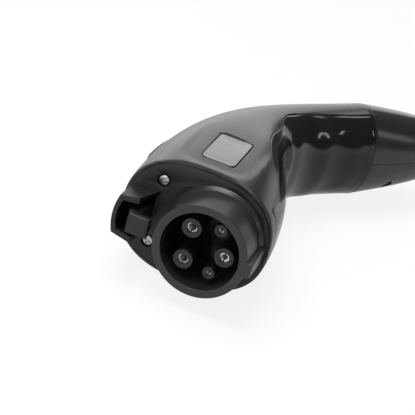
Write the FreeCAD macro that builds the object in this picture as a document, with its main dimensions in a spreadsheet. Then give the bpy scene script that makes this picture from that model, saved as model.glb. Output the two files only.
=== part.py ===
"""Five-contact vehicle connector of a charging cable, for a shared parts library.

Millimetres. The origin is the centre of the plug barrel's rim. The plug mates along -Y,
the housing runs back along +Y, the latch is on the -X side and the grip leans to +X.
The median plane of the housing is Z = 0, and the connector lies on its -Z side.
"""
import FreeCAD, Part
import math
import os
import re

import Sketcher
from FreeCAD import Placement, Rotation, Vector

SIZES = {
    # plug barrel
    "barrel_radius": 21.9,
    "barrel_bore": 18.1,
    "barrel_length": 22.0,
    "barrel_reach": 38.0,
    "barrel_seat": 19.0,
    "seat_face": 29.0,
    "groove_radius": 20.4,
    "groove_front": 30.0,
    "groove_back": 34.0,
    "collar_radius": 23.2,
    "collar_thick": 1.6,
    "rib_width": 7.0,
    "rib_top": 24.2,
    # contact insert
    "power_x": 6.8,
    "power_z": 7.9,
    "earth_x": 10.6,
    "signal_x": 5.6,
    "signal_z": 10.7,
    "large_sleeve": 4.6,
    "large_front": 3.4,
    "large_contact": 2.75,
    "power_bore": 1.85,
    "earth_bore": 1.45,
    "small_sleeve": 3.0,
    "small_front": 5.2,
    "small_contact": 1.5,
    "signal_bore": 0.8,
    "contact_recess": 1.4,
    "contact_depth": 20.0,
    "shoulder_grow": 1.0,
    "shoulder_front": 34.0,
    "tail_length": 12.0,
    "retainer_thick": 2.6,
    # housing outline
    "head_top": 45.0,
    "head_belly": 26.0,
    "head_width": 28.4,
    "grip_angle": 41.0,
    "grip_x": 28.5,
    "grip_y": 174.6,
    "grip_depth": 17.6,
    "grip_width": 24.9,
    "crown_pull": 80.0,
    "crown_rise": 7.0,
    "back_pull": 60.0,
    "belly_pull": 75.0,
    "throat_pull": 90.0,
    "shoulder_swell": 4.6,
    "waist_swell": 2.4,
    "wall": 2.6,
    "seam": 0.15,
    # tail cap
    "cap_length": 54.0,
    "tail_radius": 12.8,
    "tail_wall": 5.0,
    "gland_radius": 10.4,
    "gland_bore": 8.0,
    "gland_proud": 3.0,
    # front plate and hood
    "lip": 1.5,
    "plate_thick": 3.0,
    "hood_front": 5.3,
    "hood_corner_x": 42.0,
    "hood_corner_z": 9.4,
    "hood_crown": 43.6,
    "hood_foot_x": 32.9,
    "hood_foot_z": 11.3,
    "hood_root_x": 28.9,
    "hood_root_z": 10.2,
    "hood_wall": 2.0,
    "window_half": 5.6,
    "plate_screw_x": 28.8,
    "plate_screw_z": 15.6,
    # top cover
    "cover_half": 22.0,
    "cover_end": 96.6,
    "cover_split": 30.0,
    # latch
    "latch_half": 4.7,
    "hook_tip": 1.0,
    "hook_bottom": 25.0,
    "hook_length": 3.4,
    "arm_top": 36.6,
    "arm_bottom": 30.6,
    "tail_bottom": 32.4,
    "pivot_x": 34.0,
    "pivot_y": 44.0,
    "pivot_pin": 2.0,
    "pivot_boss": 4.2,
    "latch_tail": 80.0,
    "running_gap": 0.05,
    "side_gap": 0.4,
    # latch carrier
    "cheek_thick": 2.5,
    "carrier_front": 38.5,
    "carrier_step": 43.5,
    "carrier_back": 90.0,
    "carrier_floor": 20.0,
    "floor_thick": 2.0,
    "cheek_top": 38.4,
    # release button
    "button_half": 10.5,
    "button_front": 53.0,
    "button_back": 87.4,
    "button_gap": 0.45,
    "button_hinge_x": 35.4,
    "button_hinge_y": 86.0,
    "button_pin": 1.5,
    "stem_y": 64.0,
    # spring and switch
    "spring_y": 75.0,
    "spring_radius": 2.6,
    "spring_wire": 0.4,
    "spring_turns": 5.0,
    "switch_front": 50.0,
    "switch_length": 16.0,
    "switch_height": 8.0,
    "plunger_y": 56.0,
    "plunger_radius": 1.2,
    "switch_half": 3.2,
    "board_thick": 1.6,
    # nameplate
    "name_x": 10.3,
    "name_y": 49.2,
    "name_length": 30.5,
    "name_width": 15.8,
    "name_thick": 1.2,
    "name_level": 29.35,
    "name_gap": 0.5,
    # grip pads
    "pad_front_x": 20.3,
    "pad_back": 0.6,
    "pad_edge": 7.0,
    "pad_thick": 1.2,
    "pad_gap": 0.12,
    # fasteners
    "screw_radius": 1.45,
    "head_radius": 2.7,
    "boss_radius": 4.2,
    "screw_seat": 12.0,
    "screw_reach": 10.0,
}

doc = FreeCAD.newDocument("charging_connector")
sheet = doc.addObject("Spreadsheet::Sheet", "Sizes")
for row, (alias, value) in enumerate(SIZES.items(), start=1):
    sheet.set(f"A{row}", alias)
    sheet.set(f"B{row}", str(value))
    sheet.setAlias(f"B{row}", alias)
doc.recompute()

PARTS = []
WORD = re.compile(r"[a-z]+(?:_[a-z]+)*")


def bound(rule):
    """A rule in the sheet's words, as an expression that any object can be bound to."""
    return WORD.sub(lambda found: f"Sizes.{found[0]}" if found[0] in SIZES else found[0], rule)


def number(rule):
    """The value of a rule in the sheet's words."""
    return float(sheet.evalExpression(rule))


def keep(part, label):
    """Names a finished sub-part and puts it on the list of those that are written out."""
    part.Label = label
    PARTS.append(part)
    return part


def bind(part, **rules):
    """Binds properties of an object to rules of the sheet."""
    for name, rule in rules.items():
        part.setExpression(name, bound(rule))


def stand(part, place, axis="z"):
    """Puts an object at a place given as three rules, its own Z axis along x, y or z."""
    turns = {"x": Rotation(Vector(0, 1, 0), 90), "y": Rotation(Vector(1, 0, 0), -90), "z": Rotation()}
    part.Placement = Placement(Vector(), turns[axis])
    for letter, rule in zip("xyz", place):
        part.setExpression(f"Placement.Base.{letter}", bound(rule))


def cylinder(name, radius, length, place, axis="z"):
    part = doc.addObject("Part::Cylinder", name)
    bind(part, Radius=radius, Height=length)
    stand(part, place, axis)
    return part


def joined(name, *pieces):
    part = doc.addObject("Part::MultiFuse", name)
    part.Shapes = list(pieces)
    part.Refine = True
    return part


def less(name, base, *tools):
    """A base with tools cut out of it."""
    part = doc.addObject("Part::Cut", name)
    part.Base = base
    part.Tool = tools[0] if len(tools) == 1 else joined(f"{name}_tools", *tools)
    part.Refine = True
    return part


def solid_part(label, shape):
    """A sub-part whose shape is worked out below from the sheet."""
    part = doc.addObject("Part::Feature", label)
    part.Shape = shape
    return keep(part, label)


def new_body(label):
    body = doc.addObject("PartDesign::Body", label)
    return keep(body, label)


def plane_of(body, role):
    return next(plane for plane in body.Origin.OriginFeatures if plane.Role == role)


def outline(body, name, corners, plane="XY_Plane"):
    """A closed sketch of straight lines, each corner bound to two rules of the sheet."""
    sketch = body.newObject("Sketcher::SketchObject", name)
    sketch.AttachmentSupport = [(plane_of(body, plane), "")]
    sketch.MapMode = "FlatFace"
    points = [Vector(number(across), number(up), 0) for across, up in corners]
    ends = points[1:] + points[:1]
    for start, end in zip(points, ends):
        sketch.addGeometry(Part.LineSegment(start, end))
    for line in range(len(points)):
        sketch.addConstraint(Sketcher.Constraint("Coincident", line, 2, (line + 1) % len(points), 1))
    for line, (point, rules) in enumerate(zip(points, corners)):
        for letter, rule, value in zip("XY", rules, (point.x, point.y)):
            index = sketch.addConstraint(Sketcher.Constraint(f"Distance{letter}", -1, 1, line, 1, value))
            sketch.renameConstraint(index, f"{letter.lower()}_{line}")
            sketch.setExpression(f"Constraints.{letter.lower()}_{line}", bound(rule))
    return sketch


def turned(body, name, corners, cut=False):
    """A revolution, or a groove, of an outline about the body's own Y axis."""
    sketch = outline(body, f"{name}_outline", corners)
    turn = body.newObject("PartDesign::Groove" if cut else "PartDesign::Revolution", name)
    turn.Profile = sketch
    turn.ReferenceAxis = (sketch, ["V_Axis"])
    turn.Angle = 360
    sketch.Visibility = False
    return turn


def padded(body, name, sketch, length, midplane=True):
    pad = body.newObject("PartDesign::Pad", name)
    pad.Profile = sketch
    pad.Midplane = midplane
    pad.setExpression("Length", bound(length))
    return pad


def pocketed(body, name, sketch, length, midplane=True):
    pocket = body.newObject("PartDesign::Pocket", name)
    pocket.Profile = sketch
    pocket.Midplane = midplane
    pocket.setExpression("Length", bound(length))
    return pocket


# The skin of the housing
#
# Two curves in the median plane, the back and the belly, run from the front plate to the
# seam of the tail cap. Each cross-section joins a point of one to a point of the other.

GRIP = math.radians(number("grip_angle"))
ALONG = Vector(math.sin(GRIP), math.cos(GRIP), 0)
AHEAD = Vector(math.cos(GRIP), -math.sin(GRIP), 0)
SEAM = Vector(number("grip_x"), number("grip_y"), 0)
PLATE = number("barrel_length")
WALL = number("wall")
SPLIT_GAP = number("seam")
GAP = SPLIT_GAP / 2
FAR = 400.0
STATIONS = [step / 16 for step in range(17)]
POINTS_ROUND = 20


def bezier(points, t):
    """A cubic curve's point, for vectors or plain numbers."""
    weights = ((1 - t) ** 3, 3 * t * (1 - t) ** 2, 3 * t * t * (1 - t), t**3)
    return sum((point * weight for point, weight in zip(points[1:], weights[1:])), points[0] * weights[0])


def back_point(t):
    start = Vector(-number("head_top"), PLATE, 0)
    end = SEAM - AHEAD * number("grip_depth")
    rise = Vector(-number("crown_rise"), number("crown_pull"), 0)
    return bezier((start, start + rise, end - ALONG * number("back_pull"), end), t)


def belly_point(t):
    start = Vector(number("head_belly"), PLATE, 0)
    end = SEAM + AHEAD * number("grip_depth")
    pull = Vector(0, number("belly_pull"), 0)
    return bezier((start, start + pull, end - ALONG * number("throat_pull"), end), t)


def half_width(t):
    wide, slim = number("head_width"), number("grip_width")
    return bezier((wide, wide + number("shoulder_swell"), slim - number("waist_swell"), slim), t)


def rounded_ring(centre, depth, deep, wide, squareness):
    """A closed smooth curve: an oval whose corners fill out as squareness grows past 2."""
    points = []
    for step in range(POINTS_ROUND):
        turn = 2 * math.pi * step / POINTS_ROUND
        c, s = math.cos(turn), math.sin(turn)
        across = math.copysign(abs(c) ** (2 / squareness), c) * deep
        up = math.copysign(abs(s) ** (2 / squareness), s) * wide
        points.append(centre + depth * across + Vector(0, 0, up))
    curve = Part.BSplineCurve()
    curve.interpolate(Points=points, PeriodicFlag=True)
    return Part.Wire([curve.toShape()])


def section(t, inset):
    """The housing's cross-section at a station, drawn in by an inset."""
    back, belly = back_point(t), belly_point(t)
    reach = belly - back
    deep = reach.Length / 2 - inset
    return rounded_ring((back + belly) * 0.5, reach.normalize(), deep, half_width(t) - inset, 2.45 - 0.35 * t)


def housing(inset):
    return Part.makeLoft([section(t, inset) for t in STATIONS], True, True)


CAP_STATIONS = (0, 0.2, 0.4, 0.55, 0.68, 0.8, 0.88, 0.94, 0.98, 1)


def cap_section(t, inset):
    end = number("tail_radius")
    wide = end + (number("grip_width") - end) * (1 - t) ** 0.6
    deep = end + (number("grip_depth") - end) * (1 - t**2.5) ** 0.6
    centre = SEAM + ALONG * (number("cap_length") * t)
    return rounded_ring(centre, AHEAD, deep - inset, wide - inset, 2.1 - 0.1 * t)


def tail(inset, stations):
    return Part.makeLoft([cap_section(t, inset) for t in stations], True, True)


def slab(low, high):
    """A box between two corners."""
    low, high = Vector(*low), Vector(*high)
    span = high - low
    return Part.makeBox(span.x, span.y, span.z, low)


def rod(radius, start, end):
    """A cylinder between two points."""
    start, end = Vector(*start), Vector(*end)
    return Part.makeCylinder(radius, (end - start).Length, start, end - start)


def prism(points, low, high):
    """An outline in the median plane, swept from one height to another."""
    corners = [Vector(x, y, low) for x, y in points]
    face = Part.Face(Part.makePolygon(corners + corners[:1]))
    return face.extrude(Vector(0, 0, high - low))


def upper(shape, gap=0.0):
    return shape.common(slab((-FAR, -FAR, gap), (FAR, FAR, FAR)))


def lower(shape, gap=0.0):
    return shape.common(slab((-FAR, -FAR, -FAR), (FAR, FAR, -gap)))


def mirrored(shape):
    return shape.mirror(Vector(), Vector(0, 0, 1))


def on_grip(along, ahead, up=0.0):
    """A point by its distance from the seam back toward the head, and ahead of the grip's axis."""
    return SEAM - ALONG * along + AHEAD * ahead + Vector(0, 0, up)


OUTER = housing(0)
INNER = housing(WALL)


def beam(tool):
    """Keeps an inner rib or boss within the housing's wall."""
    return tool.common(WITHIN)


WITHIN = housing(1.0)

# Front plate with its latch hood


def hood_ring(y, corner, crown, foot, inset=0.0, open_to=None):
    """The hood's outline at a distance from the rim: a curved top between two side walls."""
    (corner_x, corner_z), (foot_x, foot_z) = corner, foot
    low = -(open_to if open_to else foot_x)
    side = [
        Vector(low, y, foot_z - inset),
        Vector(inset - corner_x, y, corner_z - inset),
    ]
    top = Vector(inset - crown, y, 0)
    other = [Vector(point.x, y, -point.z) for point in reversed(side)]
    edges = [
        Part.LineSegment(*side).toShape(),
        Part.Arc(side[1], top, other[0]).toShape(),
        Part.LineSegment(*other).toShape(),
        Part.LineSegment(other[1], side[0]).toShape(),
    ]
    return Part.Wire(edges)


def hood():
    front = number("hood_front")
    thick = number("hood_wall")
    corner = (number("hood_corner_x"), number("hood_corner_z"))
    foot = (number("hood_foot_x"), number("hood_foot_z"))
    crown = number("hood_crown")
    rear_corner = (number("head_top - lip - 1.6"), corner[1])
    rear_foot = (number("hood_root_x"), number("hood_root_z"))
    rear_crown = number("head_top - lip - 0.1")
    opening = number("barrel_radius + 3")
    outside = [hood_ring(front, corner, crown, foot), hood_ring(PLATE, rear_corner, rear_crown, rear_foot)]
    inside = [
        hood_ring(front - 0.1, corner, crown, foot, thick, opening),
        hood_ring(PLATE, rear_corner, rear_crown, rear_foot, thick, opening),
    ]
    shade = Part.makeLoft(outside, True, True)
    return shade.cut(Part.makeLoft(inside, True, True))


PLATE_SCREWS = [(-number("plate_screw_x"), side * number("plate_screw_z")) for side in (1, -1)]


def plate_blank(inset, thick):
    ring = section(0, inset)
    return Part.Face(ring).extrude(Vector(0, thick, 0))


def front_plate():
    thick = number("plate_thick")
    plate = plate_blank(number("lip"), thick).fuse(hood())
    plate = plate.cut(rod(number("barrel_radius + 0.1"), (0, PLATE - 1, 0), (0, PLATE + thick + 1, 0)))
    half = number("window_half")
    high, low = number("arm_top + 4.4"), number("arm_bottom - 0.4")
    window = slab((-high, PLATE - 0.5, -half), (-low, PLATE + thick + 1, half))
    plate = plate.cut(window)
    for x, z in PLATE_SCREWS:
        plate = plate.cut(rod(number("screw_radius + 0.15"), (x, PLATE - 1, z), (x, PLATE + thick + 1, z)))
        plate = plate.cut(rod(number("head_radius + 0.5"), (x, PLATE - 1, z), (x, PLATE + 1.7, z)))
    return plate.removeSplitter()


solid_part("front_plate", front_plate())

# Plug barrel

plug_barrel = new_body("plug_barrel")
turned(
    plug_barrel,
    "barrel_turn",
    (
        ("barrel_bore + 0.5", "0"),
        ("barrel_radius - 0.5", "0"),
        ("barrel_radius", "0.5"),
        ("barrel_radius", "barrel_length - collar_thick - 2"),
        ("collar_radius - 0.4", "barrel_length - collar_thick"),
        ("collar_radius", "barrel_length - collar_thick + 0.5"),
        ("collar_radius", "barrel_length"),
        ("barrel_radius", "barrel_length"),
        ("barrel_radius", "groove_front"),
        ("groove_radius", "groove_front"),
        ("groove_radius", "groove_back"),
        ("barrel_radius", "groove_back"),
        ("barrel_radius", "barrel_reach"),
        ("barrel_seat", "barrel_reach"),
        ("barrel_seat", "seat_face"),
        ("barrel_bore", "seat_face"),
        ("barrel_bore", "0.5"),
    ),
)
rib = outline(
    plug_barrel,
    "rib_outline",
    (
        ("barrel_radius - 1", "0.4"),
        ("rib_top - 0.4", "0"),
        ("rib_top", "0.4"),
        ("rib_top", "barrel_length"),
        ("barrel_radius - 1", "barrel_length"),
    ),
)
padded(plug_barrel, "key_rib", rib, "rib_width")

seal = new_body("barrel_seal")
turned(
    seal,
    "seal_turn",
    (
        ("barrel_radius + 0.1", "barrel_length + plate_thick + 0.4"),
        ("barrel_radius + 0.4", "barrel_length + plate_thick + 0.1"),
        ("barrel_radius + 1.1", "barrel_length + plate_thick + 0.1"),
        ("barrel_radius + 1.4", "barrel_length + plate_thick + 0.4"),
        ("barrel_radius + 1.4", "barrel_length + plate_thick + 1.2"),
        ("barrel_radius + 0.1", "barrel_length + plate_thick + 1.2"),
    ),
)

# Contacts and the block that holds them

LARGE = {
    "radius": "large_contact",
    "sleeve": "large_sleeve",
    "front": "large_front",
    "mouth": "large_contact - 0.4",
    "slot": "0.5",
}
SMALL = {
    "radius": "small_contact",
    "sleeve": "small_sleeve",
    "front": "small_front",
    "mouth": "small_contact - 0.3",
    "slot": "0.25",
}
CONTACTS = {
    "power_contact_live": ("-power_x", "power_z", "power_bore", LARGE),
    "power_contact_neutral": ("-power_x", "-power_z", "power_bore", LARGE),
    "earth_contact": ("earth_x", "0", "earth_bore", LARGE),
    "pilot_contact": ("signal_x", "signal_z", "signal_bore", SMALL),
    "proximity_contact": ("signal_x", "-signal_z", "signal_bore", SMALL),
}


def contact(label, x, z, bore, kind):
    """A turned socket with a split mouth, a shoulder and a crimp cup at its back."""
    radius = kind["radius"]
    front = f"{kind['front']} + contact_recess"
    tail_radius = f"{radius} - 0.3"
    cup = f"{radius} * 0.62"
    body = new_body(label)
    turned(
        body,
        f"{label}_turn",
        (
            (bore, front),
            (radius, front),
            (radius, "shoulder_front"),
            (f"{radius} + shoulder_grow", "shoulder_front"),
            (f"{radius} + shoulder_grow", "barrel_reach"),
            (tail_radius, "barrel_reach"),
            (tail_radius, "barrel_reach + tail_length"),
            (cup, "barrel_reach + tail_length"),
            (cup, "barrel_reach + tail_length - 7"),
            ("0", "barrel_reach + tail_length - 7"),
            ("0", f"{front} + contact_depth"),
            (bore, f"{front} + contact_depth"),
        ),
    )
    half = f"{kind['slot']} / 2"
    slit = outline(
        body,
        f"{label}_slit",
        (
            (f"-{half}", f"{front} - 1"),
            (half, f"{front} - 1"),
            (half, f"{front} + 9"),
            (f"-{half}", f"{front} + 9"),
        ),
    )
    pocketed(body, f"{label}_split", slit, f"3 * ({radius})")
    body.setExpression("Placement.Base.x", bound(x))
    body.setExpression("Placement.Base.z", bound(z))


for label, (x, z, bore, kind) in CONTACTS.items():
    contact(label, x, z, bore, kind)

RETAINER_SCREWS = (("-barrel_seat + 4.4", "0"), ("-0.5", "barrel_seat - 3.8"), ("-0.5", "-barrel_seat + 3.8"))


def contact_sleeve(label, x, z, kind):
    """An insulating sleeve round a contact, closed to a narrower mouth in front of it."""
    front, radius = kind["front"], kind["radius"]
    outer = cylinder(f"{label}_tube", kind["sleeve"], f"seat_face + 2 - {front}", (x, front, z), "y")
    mouth = cylinder(f"{label}_mouth", kind["mouth"], "contact_recess + 1", (x, f"{front} - 0.5", z), "y")
    long = f"seat_face + 3 - {front} - contact_recess"
    way = cylinder(f"{label}_way", f"{radius} + 0.1", long, (x, f"{front} + contact_recess", z), "y")
    keep(less(f"{label}_sleeve", outer, mouth, way), label.replace("contact", "sleeve"))


def contact_insert():
    """The disc that carries the sleeves in pockets and the contacts by their shoulders."""
    blank = cylinder("insert_disc", "barrel_seat - 0.1", "barrel_reach - seat_face", ("0", "seat_face", "0"), "y")
    holes = []
    for label, (x, z, bore, kind) in CONTACTS.items():
        pocket = f"{kind['sleeve']} + 0.05"
        holes.append(cylinder(f"{label}_pocket", pocket, "2.55", (x, "seat_face - 0.5", z), "y"))
        way = f"{kind['radius']} + 0.1"
        holes.append(cylinder(f"{label}_hole", way, "barrel_reach - seat_face + 1", (x, "seat_face - 0.5", z), "y"))
        seat = f"{kind['radius']} + shoulder_grow + 0.1"
        long = "barrel_reach + 1 - shoulder_front"
        holes.append(cylinder(f"{label}_seat", seat, long, (x, "shoulder_front", z), "y"))
    for place, (x, z) in enumerate(RETAINER_SCREWS):
        holes.append(cylinder(f"insert_pilot_{place}", "1", "7", (x, "barrel_reach - 6.5", z), "y"))
    keep(less("contact_insert", blank, *holes), "contact_insert")


def contact_retainer():
    plate = cylinder("retainer_disc", "barrel_radius - 0.5", "retainer_thick", ("0", "barrel_reach + 0.05", "0"), "y")
    holes = []
    for label, (x, z, bore, kind) in CONTACTS.items():
        clear = f"{kind['radius']} - 0.15"
        holes.append(cylinder(f"{label}_exit", clear, "retainer_thick + 1", (x, "barrel_reach - 0.4", z), "y"))
    for place, (x, z) in enumerate(RETAINER_SCREWS):
        holes.append(cylinder(f"retainer_hole_{place}", "1.15", "retainer_thick + 1", (x, "barrel_reach - 0.4", z), "y"))
    keep(less("contact_retainer", plate, *holes), "contact_retainer")


def retainer_screws():
    screws = []
    for place, (x, z) in enumerate(RETAINER_SCREWS):
        seat = "barrel_reach + retainer_thick + 0.1"
        screws.append(cylinder(f"retainer_shank_{place}", "0.95", "retainer_thick + 5", (x, "barrel_reach - 4.9", z), "y"))
        screws.append(cylinder(f"retainer_head_{place}", "1.9", "1.3", (x, seat, z), "y"))
    keep(joined("retainer_screws", *screws), "retainer_screws")


for label, (x, z, bore, kind) in CONTACTS.items():
    contact_sleeve(label, x, z, kind)
contact_insert()
contact_retainer()
retainer_screws()


# Shells, top cover, grip pads and nameplate


def level(low, high):
    """Everything between two heights."""
    return slab((-FAR, -FAR, low), (FAR, FAR, high))


def rounded(corners, radius):
    """The corners of an outline, each rounded off in short steps."""
    points = []
    for place, (x, y) in enumerate(corners):
        here = Vector(x, y, 0)
        before = Vector(*corners[place - 1], 0) - here
        after = Vector(*corners[(place + 1) % len(corners)], 0) - here
        start, end = here + before.normalize() * radius, here + after.normalize() * radius
        for step in range(7):
            share = step / 6
            point = start * (1 - share) ** 2 + here * (2 * share * (1 - share)) + end * share**2
            points.append((point.x, point.y))
    return points


def past_seam(start, end):
    """Everything between two distances past the seam."""
    return rod(90, SEAM + ALONG * start, SEAM + ALONG * end)


def cover_zone(gap):
    half, split = number("cover_half") + gap, number("cover_split") - gap
    return slab((-FAR, -FAR, -half), (-split, number("cover_end") + gap, half))


# The pads' edge from the head to the seam: distance before the seam, rise above the flank line
PAD_CURVE = ((94, 51), (88, 34), (80, 22), (75, 14.5), (66, 8), (55, 3.5), (45, 1.2), (34, 0), (-1, 0))


def pad_zone(gap):
    """The belly and the ahead side of the grip that the two pads cover, on the upper side."""
    edge = number("pad_edge") - gap
    line = [(number("pad_front_x") - gap, PLATE - 1), (number("pad_front_x") - gap, PLATE + 22)]
    for along, rise in PAD_CURVE:
        point = on_grip(along, edge + rise)
        line.append((point.x, point.y))
    far = [on_grip(-1, 90), Vector(90, PLATE - 1, 0)]
    start, end = number("plate_thick") + 3 - gap, number("pad_back") - gap
    zone = prism(line + [(point.x, point.y) for point in far], GAP, FAR)
    return zone.cut(slab((-FAR, -FAR, -FAR), (FAR, PLATE + start, FAR))).cut(past_seam(-end, 40))


def name_zone(gap, low):
    half_wide, half_long = number("name_width") / 2 + gap, number("name_length") / 2 + gap
    x, y = -number("name_x"), number("name_y")
    corners = (
        (x - half_wide, y - half_long),
        (x + half_wide, y - half_long),
        (x + half_wide, y + half_long),
        (x - half_wide, y + half_long),
    )
    return prism(rounded(corners, 2.0 + gap), low, FAR)


def pad_skin(gap):
    """The pads' own layer of the skin, on the upper side."""
    layer = OUTER.cut(housing(number("pad_thick") + gap))
    return layer.common(pad_zone(gap))


def cover_ledge():
    """A rail under the cover's edge, on the upper side."""
    half, split, end = number("cover_half"), number("cover_split"), number("cover_end")
    inside = housing(WALL + 1.7)
    rail = housing(WALL + 0.1).cut(inside).common(slab((-FAR, 30, half - 1.5), (2 - split, end - 4, half + 2)))
    foot = housing(WALL - 0.6).cut(inside).common(slab((-FAR, 30, half + 0.3), (2 - split, end - 4, half + 2)))
    return rail.fuse(foot)


def barrel_rib():
    """A rib that stands in the barrel's groove."""
    start, end = number("groove_front") + 0.3, number("groove_back") - 0.3
    rib = slab((-number("barrel_seat + 1"), start, -FAR), (FAR, end, FAR))
    return beam(rib.cut(rod(number("groove_radius + 0.3"), (0, 0, 0), (0, FAR, 0))))


def plate_boss():
    x, z = PLATE_SCREWS[0]
    start, end = PLATE + number("plate_thick") + 0.1, number("barrel_reach")
    boss = rod(number("boss_radius"), (x, start, z), (x, end, z))
    web = beam(slab((x, start, z), (x + 2.4, end, FAR)))
    hole = rod(number("screw_radius + 0.05"), (x, start - 1, z), (x, end - 0.8, z))
    return boss.fuse(web).cut(hole)


PEG_X = -number("carrier_floor + 6")
CARRIER_PEGS = [(PEG_X, number("pivot_y + 1")), (PEG_X, number("latch_tail"))]


def carrier_bosses():
    """Posts that hold the latch carrier between the two shells, on the upper side."""
    outer_face = number("latch_half + side_gap + cheek_thick") + 0.3
    posts = []
    for x, y in CARRIER_PEGS:
        posts.append(beam(rod(number("boss_radius"), (x, y, outer_face), (x, y, FAR))))
        posts.append(rod(1.8, (x, y, outer_face - number("cheek_thick")), (x, y, outer_face + 1)))
    return posts


SHELL_SCREWS = [(5.0, 60.0), (-12.0, 106.0), (-28.0, 104.0)]
SHELL_SCREWS.append(tuple(on_grip(28.0, -1.0))[:2])


def screw_boss(x, y, solid, side):
    """Half of a screw boss between the parting plane and the wall."""
    start, end = Vector(x, y, side * GAP), Vector(x, y, side * FAR)
    return rod(number("boss_radius"), start, end).common(solid)


def threaded_way(x, y):
    return rod(number("screw_radius + 0.05"), (x, y, -1), (x, y, number("screw_reach") + 1.5))


def screw_way(x, y, seat):
    """A screw's clearance hole and the well of its head, on the lower side."""
    way = rod(number("screw_radius + 0.15"), (x, y, 1), (x, y, -seat))
    return way.fuse(rod(number("head_radius + 0.3"), (x, y, -seat), (x, y, -FAR)))


def shell(side):
    """The upper shell, or its mirror image before the nameplate's pocket and the screw holes."""
    wall = OUTER.cut(INNER).cut(cover_zone(SPLIT_GAP))
    wall = wall.cut(plate_blank(number("lip - seam"), number("plate_thick") + 0.1))
    half = upper(wall, GAP).fuse([cover_ledge(), plate_boss(), upper(barrel_rib(), GAP)] + carrier_bosses())
    half = half.cut(pad_skin(number("pad_gap")))
    if side < 0:
        half = mirrored(half)
    half = half.fuse([screw_boss(x, y, WITHIN, side) for x, y in SHELL_SCREWS])
    if side > 0:
        half = half.cut([threaded_way(x, y) for x, y in SHELL_SCREWS])
        return half.cut(name_zone(number("name_gap"), number("name_level - name_thick - 0.05")))
    return half.cut([screw_way(x, y, number("screw_seat")) for x, y in SHELL_SCREWS])


def top_cover():
    wall = OUTER.cut(INNER).common(cover_zone(0))
    wall = wall.cut(plate_blank(number("lip - seam"), number("plate_thick") + 0.1))
    half = number("button_half + button_gap")
    opening = slab((-FAR, number("button_front") - 1.1, -half), (0, number("button_back + button_gap"), half))
    return wall.cut(opening)


def screws(spots, start, seat, reach, radius, head):
    """Pan-head screws along Z with their heads on the lower side."""
    pieces = []
    for x, y in spots:
        shank = rod(radius, (x, y, -seat), (x, y, reach))
        pan = rod(head, (x, y, -seat), (x, y, -seat - start))
        pieces.append(shank.fuse(pan))
    return Part.makeCompound(pieces)


solid_part("upper_shell", shell(1))
solid_part("lower_shell", shell(-1))
solid_part("top_cover", top_cover())
PAD = pad_skin(0)
solid_part("upper_grip_pad", PAD)
solid_part("lower_grip_pad", mirrored(PAD))
NAMEPLATE = name_zone(0, number("name_level - name_thick")).common(level(0, number("name_level")))
solid_part("nameplate", NAMEPLATE)
SHANK, HEAD = number("screw_radius"), number("head_radius")
solid_part("shell_screws", screws(SHELL_SCREWS, 1.8, number("screw_seat"), number("screw_reach"), SHANK, HEAD))

plate_screws = []
for place, side in enumerate(("", "-")):
    spot = ("-plate_screw_x", "barrel_length + 1.7", f"{side}plate_screw_z")
    plate_screws.append(cylinder(f"plate_shank_{place}", "screw_radius", "barrel_reach - barrel_length - 4", spot, "y"))
    spot = ("-plate_screw_x", "barrel_length + 0.2", f"{side}plate_screw_z")
    plate_screws.append(cylinder(f"plate_head_{place}", "head_radius", "1.5", spot, "y"))
keep(joined("plate_screws", *plate_screws), "plate_screws")

# Tail cap with its gland and clamp

CAP_SCREWS = [tuple(on_grip(-20.0, side * 11.6))[:2] for side in (1, -1)]


def cap_blank():
    length, end_wall = number("cap_length"), number("tail_wall")
    skin = tail(0, CAP_STATIONS)
    hollow = tail(WALL, [share * (1 - end_wall / length) for share in CAP_STATIONS])
    way = rod(number("gland_radius + 0.05"), SEAM + ALONG * (length / 2), SEAM + ALONG * (length + 1))
    blank = skin.cut(hollow).cut(way)
    collar = tail(1.0, CAP_STATIONS).cut(tail(WALL + 2.3, CAP_STATIONS)).common(past_seam(0, 3))
    ring = Part.Face(section(1, WALL + 0.45)).cut(Part.Face(section(1, WALL + 1.9)))
    spigot = ring.extrude(ALONG * -6).fuse(ring.extrude(ALONG * 1))
    return blank.fuse(collar).common(past_seam(SPLIT_GAP, length + 1)).fuse(spigot)


def tail_cap(side):
    inside = tail(1.0, CAP_STATIONS)
    half = (upper if side > 0 else lower)(CAP, GAP)
    half = half.fuse([screw_boss(x, y, inside, side) for x, y in CAP_SCREWS])
    if side > 0:
        return half.cut([rod(SHANK + 0.05, (x, y, -1), (x, y, 8)) for x, y in CAP_SCREWS])
    saddle = past_seam(5, 13).common(inside).common(level(-FAR, -0.6))
    saddle = saddle.cut(rod(number("gland_bore"), SEAM, SEAM + ALONG * 20))
    saddle = saddle.cut([rod(1.25, (x, y, 1), (x, y, -9)) for x, y in CLAMP_SCREWS])
    return half.fuse(saddle).cut([screw_way(x, y, 8) for x, y in CAP_SCREWS])


CLAMP_SCREWS = [tuple(on_grip(-9.0, side * 11.8))[:2] for side in (1, -1)]


def cable_clamp():
    """A strap that presses the cable into the saddle of the lower cap."""
    bore = number("gland_bore")
    arch = rod(bore + 1.6, SEAM + ALONG * 5.5, SEAM + ALONG * 12.5)
    foot = past_seam(5.5, 12.5).common(level(0, 3)).common(tail(WALL + 0.4, CAP_STATIONS))
    strap = arch.fuse(foot).common(level(0.4, FAR))
    strap = strap.cut(rod(bore, SEAM, SEAM + ALONG * 20))
    return strap.cut([rod(1.35, (x, y, -1), (x, y, 9)) for x, y in CLAMP_SCREWS])


def clamp_screws():
    pieces = []
    for x, y in CLAMP_SCREWS:
        pieces.append(rod(1.2, (x, y, -8), (x, y, 3)).fuse(rod(2.0, (x, y, 3), (x, y, 4.6))))
    return Part.makeCompound(pieces)


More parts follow.
